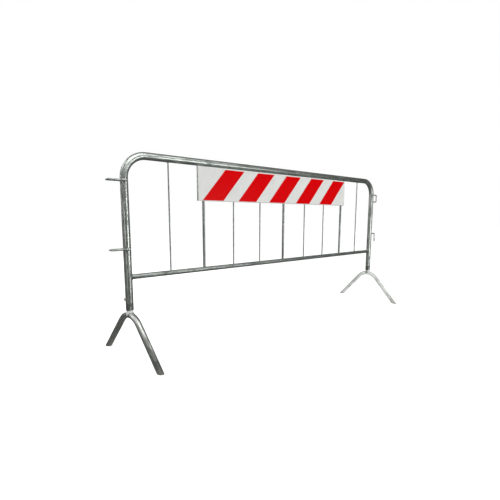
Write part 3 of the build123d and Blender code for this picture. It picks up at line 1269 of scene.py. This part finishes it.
@dataclass
class Foot:
    """One bent foot, which swivels on the spigot that is welded to the top of its bend."""

    side: str
    hoop: Hoop
    finish: Galvanised
    pattern_shift: float
    radius: float = 0.017
    wall: float = 0.002
    bend: float = 0.120
    slope: float = math.tan(math.radians(47.0))
    spigot_radius: float = 0.018
    bead: float = 0.0020
    below_ground: float = 0.04  # how far the legs run on before they are cut
    half_spread: float = field(init=False)
    seat: Matrix = field(init=False)

    def __post_init__(self) -> None:
        """Takes the foot's spread and turn from the mounts at its two ends."""
        ends = {m["name"]: Vector(m["pos_m"]) for m in frame["record"]["mounts"]}
        line = ends[f"{self.side}_foot_back_end"] - ends[f"{self.side}_foot_front_end"]
        self.half_spread = line.length / 2
        post = self.hoop.post * (LEFT if self.side == "left" else RIGHT)
        turn = Matrix.Rotation(math.atan2(-line.x, line.y), 4, "Z")
        self.seat = Matrix.Translation((post, 0.0, 0.0)) @ turn

    def make(self) -> None:
        """Builds the bent tube and the weld round its spigot."""
        reach, floor = self.half_spread + self.below_ground, -self.below_ground * self.slope
        points = [
            Vector((0.0, -reach, floor)),
            Vector((0.0, 0.0, self.half_spread * self.slope)),
            Vector((0.0, reach, floor)),
        ]
        tube = path_object(f"{self.side}_foot_bend", [Path(points, self.radius, {1: self.bend})])
        tree = TubeTree(EndCut.ON_GROUND, hollow=True).build()
        sizes = {"Sides": 48, "Bend_Steps": 28, "Wall": self.wall, "Leg_Slope": self.slope}
        grow(tube, tree, self.finish, Pattern_Shift=self.pattern_shift, **sizes)
        self._seat_piece(tube, f"{self.side}_foot_tube")
        lean = math.atan(self.slope)
        apex = self.half_spread * self.slope - self.bend * (1.0 / math.cos(lean) - 1.0)
        outside = self.bend + self.radius
        seam = Seam(
            self.spigot_radius,
            self.radius,
            place=UP * apex,
            branch=UP,
            run=ACROSS,
            bead=self.bead,
            stand_off=0.4,
            curvature=0.5 / outside,
        )
        self._seat_piece(lay_beads(f"{self.side}_foot_weld", [seam]))

    def _seat_piece(self, piece: bpy.types.Object, *stands_for: str) -> None:
        piece.data.transform(self.seat)
        place_piece(piece, f"{self.side}_foot", "foot_galvanised", *stands_for)


@dataclass
class Seam:
    """A weld that runs round a piece where it stands on a tube."""

    radius: float  # of the piece, or across a hexagon's flats
    run_radius: float
    place: Vector
    branch: Vector
    run: Vector
    bead: float
    stand_off: float  # from the piece to the bead's axis, in beads
    curvature: float = 0.0
    outline: Outline = Outline.ROUND
    steps: int = 84

    def path(self) -> Path:
        """Gives the closed line on the tube's surface.

        Returns:
            The weld's path.
        """
        across = self.branch.cross(self.run)
        points = []
        for step in range(self.steps):
            angle = math.tau * step / self.steps
            reach = self.radius + self.bead * self.stand_off
            if self.outline is Outline.HEXAGON:
                sector = math.pi / 3.0
                reach /= math.cos((angle + sector / 2) % sector - sector / 2)
            along, aside = reach * math.cos(angle), reach * math.sin(angle)
            rise = math.sqrt(max(self.run_radius**2 - aside**2, 0.0)) - self.curvature * along**2
            points.append(self.place + self.run * along + across * aside + self.branch * rise)
        return Path(points, self.bead, closed=True)


def lay_beads(name: str, runs: list[Seam | Path]) -> bpy.types.Object:
    """Makes one piece of weld beads.

    Args:
        name: the piece's name.
        runs: the seams, and the open lines between them.

    Returns:
        The piece.
    """
    piece = path_object(name, [run.path() if isinstance(run, Seam) else run for run in runs])
    ripples = {"Ripple_Pitch": 0.0026, "Ripple_Depth": 0.22, "Unevenness": 0.75}
    grow(piece, BeadTree().build(), WELD_ZINC, **ripples)
    return piece


@dataclass
class FrameWelds:
    """Every weld on the frame."""

    hoop: Hoop
    infill: Infill
    thin: float = 0.0018
    thick: float = 0.0024
    rail: float = 0.0030
    rod: float = 0.005
    nut: float = 0.0065
    arm_place: float = 0.016
    arm_run: tuple[float, float] = (-0.0125, 0.0065)  # from the post's axis, along the arm
    arm_share: float = 0.9  # how much of the rod's radius and of a full bead its runs take
    high: float = 0.35  # stand-off of the beads round bars and rods
    low: float = 0.3  # stand-off of the beads round the rail and the nuts

    def make(self) -> None:
        """Lays the beads of the bars, the rail, the couplings and the nuts."""
        runs = self._bars() + self._rail_ends() + self._couplings() + self._nuts()
        place_piece(lay_beads("frame_welds", runs), "frame", "hoop_galvanised")

    def _bars(self) -> list[Seam]:
        """Gives the rings at both ends of each bar.

        Returns:
            The seams.
        """
        rail_height, rail_radius = self.infill.rail_height, self.infill.rail_radius
        seams = []
        for x, radius in self.infill.bars.values():
            bead = self.thick if radius > self.infill.rod_radius else self.thin
            low, high = in_plane(x, rail_height), in_plane(x, self.hoop.top)
            seams.append(Seam(radius, rail_radius, low, UP, ALONG, bead, self.high))
            seams.append(Seam(radius, self.hoop.radius, high, -UP, ALONG, bead, self.high))
        return seams

    def _on_post(
        self,
        side: float,
        height: float,
        facing: Vector,
        radius: float,
        bead: float,
        stand_off: float,
        outline: Outline = Outline.ROUND,
    ) -> Seam:
        """Gives the ring round a piece that is welded to a post.

        Args:
            side: the post's side.
            height: the piece's axis.
            facing: which way the piece points.
            radius: the piece's radius.
            bead: the bead's radius.
            stand_off: from the piece to the bead's axis, in beads.
            outline: the piece's outline.

        Returns:
            The seam.
        """
        place = in_plane(side * self.hoop.post, height)
        return Seam(radius, self.hoop.radius, place, facing, UP, bead, stand_off, outline=outline)

    def _rail_ends(self) -> list[Seam]:
        """Gives the rings where the rail meets the posts."""
        height, sizes = self.infill.rail_height, (self.infill.rail_radius, self.rail, self.low)
        return [self._on_post(side, height, ALONG * -side, *sizes) for side in (LEFT, RIGHT)]

    def _couplings(self) -> list[Seam | Path]:
        """Gives the rings of the hooks and the short runs of the eyelets' arms.

        Returns:
            The seams and the runs.
        """
        runs = []
        for name in ("upper_hook", "lower_hook"):
            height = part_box(name)[1].z - self.rod
            runs.append(self._on_post(RIGHT, height, ALONG, self.rod, self.thick, self.high))
        for name in ("upper_eyelet", "lower_eyelet"):
            low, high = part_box(name)
            for across in (-self.arm_place, self.arm_place):
                for rise in (-self.rod, self.rod):
                    points = self._arm_run(across, (low.z + high.z) / 2 + rise * self.arm_share)
                    runs.append(Path(points, self.thick * self.arm_share))
        return runs

    def _arm_run(self, across: float, height: float) -> list[Vector]:
        """Gives a short line along an eyelet's arm, where it lies on the left post.

        Args:
            across: the arm's place across the barrier.
            height: the line's height.

        Returns:
            The line's points.
        """
        (start, end), count = self.arm_run, 12
        points = []
        for step in range(count + 1):
            x = start + (end - start) * step / count
            wall = math.sqrt(max(self.hoop.radius**2 - x * x, 0.0))
            y = math.copysign(max(abs(across), wall), across)
            points.append(Vector((x - self.hoop.post, y, height)))
        return points

    def _nuts(self) -> list[Seam]:
        """Gives the rings round the two weld nuts.

        Returns:
            The seams.
        """
        seams = []
        for name, side in (("left_weld_nut", LEFT), ("right_weld_nut", RIGHT)):
            low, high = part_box(name)
            height = (low.z + high.z) / 2
            sizes = (self.nut, self.thin, self.low, Outline.HEXAGON)
            seams.append(self._on_post(side, height, -ALONG, *sizes))
        return seams


@dataclass
class Sign:
    """The folded sign sheet, its film and what holds it to the thick bars."""

    def dress(self) -> None:
        """Gives the sheet, the films, the clips and the rivets their finishes."""
        names = sorted(frame["nodes"])
        dress(["sign_panel"], SIGN_ZINC)
        dress(["white_film"], WHITE_FILM)
        dress([name for name in names if name.startswith("red_stripe")], RED_FILM)
        dress([name for name in names if "_clip_" in name], CLIP_ZINC)
        dress(["panel_rivets"], RIVET_ALUMINIUM)


@dataclass
class Couplings:
    """The hooks, eyelets, spigots, stops and fasteners."""

    def dress(self) -> None:
        """Gives each its finish."""
        dress(["upper_hook", "lower_hook", "upper_eyelet", "lower_eyelet"], COUPLING_ZINC)
        for side in ("left", "right"):
            # The spigots and post stops take the zinc with the painted highlight.
            dress([f"{side}_spigot", f"{side}_post_stop"], SPIGOT_PAINTED_HIGHLIGHT_ZINC)
            dress([f"{side}_dog_screw", f"{side}_weld_nut"], FASTENER_PLATE)


# ------------------------------------------------------------------------ studio


@dataclass
class Softbox:
    """A large soft light that the camera doesn't see."""

    name: str
    azimuth: float
    elevation: float
    distance: float
    width: float
    height: float
    power: float

    def make(self, centre: Vector) -> None:
        """Hangs the light, aimed at the barrier.

        Args:
            centre: what it is aimed at.
        """
        light = bpy.data.lights.new(self.name, "AREA")
        light.shape = "RECTANGLE"
        light.size = self.width
        light.size_y = self.height
        light.energy = self.power
        turn, lift = math.radians(self.azimuth), math.radians(self.elevation)
        away = Vector((math.sin(turn) * math.cos(lift), -math.cos(turn) * math.cos(lift), math.sin(lift)))
        lamp = stand(self.name, light)
        lamp.location = centre + away * self.distance
        lamp.rotation_euler = away.to_track_quat("Z", "Y").to_euler()
        lamp.visible_camera = False


@dataclass
class Studio:
    """The camera, the pale floor and the soft lights."""

    eye: tuple[float, float, float] = (-1.77264, -1.80601, 0.76963)
    yaw: float = 39.18  # degrees from +Y towards +X
    dip: float = 7.89  # degrees below level
    roll: float = 0.14
    lens: float = 24.965
    shift: float = 0.0283
    floor_size: float = 60.0
    overhead: float = 0.9
    overhead_spread: float = 55.0
    overhead_tilt: tuple[float, float] = (24.0, -12.0)
    aim: Three = (0.0, 0.0, 0.6)
    surroundings: Colour = (0.30, 0.31, 0.30)
    surroundings_strength: float = 0.10
    softboxes: tuple[Softbox, ...] = (
        Softbox("key_softbox", 18.0, -2.0, 3.2, 1.15, 0.92, 26.0),
        Softbox("fill_softbox", -62.0, 1.0, 4.4, 1.0, 1.0, 8.0),
        Softbox("side_softbox", -112.0, 26.0, 4.0, 1.6, 2.4, 28.0),
        Softbox("back_softbox", -165.0, 20.0, 4.5, 2.4, 2.5, 34.0),
        Softbox("front_softbox", -8.0, 50.0, 4.0, 3.6, 2.0, 58.0),
    )

    def camera(self) -> None:
        """Sets up the camera."""
        yaw, dip, roll = (math.radians(a) for a in (self.yaw, self.dip, self.roll))
        ahead = Vector((math.sin(yaw) * math.cos(dip), math.cos(yaw) * math.cos(dip), -math.sin(dip)))
        side = ahead.cross(UP).normalized()
        up = side.cross(ahead)
        right = side * math.cos(roll) + up * math.sin(roll)
        top = up * math.cos(roll) - side * math.sin(roll)
        turn = Matrix((right, top, -ahead)).transposed().to_4x4()
        data = bpy.data.cameras.new("camera")
        data.lens = self.lens
        data.sensor_width = 36.0
        data.shift_y = self.shift
        data.clip_end = 200.0
        camera = stand("camera", data)
        camera.matrix_world = Matrix.Translation(self.eye) @ turn
        bpy.context.scene.camera = camera

    def floor(self) -> None:
        """Lays the pale floor."""
        half = self.floor_size / 2
        corners = [(-half, -half, 0.0), (half, -half, 0.0), (half, half, 0.0), (-half, half, 0.0)]
        mesh = bpy.data.meshes.new("floor")
        mesh.from_pydata(corners, [], [[0, 1, 2, 3]])
        floor = stand("floor", mesh)
        material = bpy.data.materials.new("pale_floor")
        material.use_nodes = True
        graph = ShaderGraph(material.node_tree)
        graph.surface(
            Base_Color=(0.90, 0.90, 0.89),
            Roughness=0.9,
            Emission_Color=(1.0, 1.0, 1.0),
            Emission_Strength=0.80,
        )
        mesh.materials.append(material)
        floor.visible_glossy = False

    def lights(self) -> None:
        """Hangs the overhead light and the softboxes, and sets the backdrop."""
        sun = bpy.data.lights.new("overhead", "SUN")
        sun.energy = self.overhead
        sun.angle = math.radians(self.overhead_spread)
        tilt_x, tilt_y = (math.radians(a) for a in self.overhead_tilt)
        stand("overhead", sun).rotation_euler = Euler((tilt_x, tilt_y, 0.0))
        for softbox in self.softboxes:
            softbox.make(Vector(self.aim))
        world = bpy.data.worlds.new("studio")
        world.use_nodes = True
        bpy.context.scene.world = world
        graph = Graph(world.node_tree)
        lit = {"Color": self.surroundings, "Strength": self.surroundings_strength}
        dim = graph.node("ShaderNodeBackground", None, lit)
        pale = graph.node("ShaderNodeBackground", None, {"Color": (1.0, 1.0, 1.0), "Strength": 1.0})
        seen_by = graph.node("ShaderNodeLightPath").outputs["Is Camera Ray"]
        inputs = {0: seen_by, 1: dim.outputs[0], 2: pale.outputs[0]}
        seen = graph.node("ShaderNodeMixShader", None, inputs)
        graph.node("ShaderNodeOutputWorld", None, {"Surface": seen.outputs[0]})
        bpy.context.scene.view_settings.view_transform = "Standard"


def main() -> None:
    """Builds the studio and the barrier, in order."""
    logging.basicConfig(level=logging.INFO, stream=sys.stdout, format="%(name)s: %(message)s")
    studio = Studio()
    studio.camera()
    studio.floor()
    studio.lights()
    hoop = Hoop()
    infill = Infill(hoop)
    low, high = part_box("left_dog_screw")
    hoop.make(infill.rail_height, (low.z + high.z) / 2)
    infill.make()
    infill.drips()
    Foot("left", hoop, WORN_FOOT_ZINC, pattern_shift=5.3).make()
    # The right foot wears the zinc with the painted highlight.
    Foot("right", hoop, PAINTED_HIGHLIGHT_FOOT_ZINC, pattern_shift=9.2).make()
    FrameWelds(hoop, infill).make()
    Sign().dress()
    Couplings().dress()


if __name__ == "__main__":
    main()
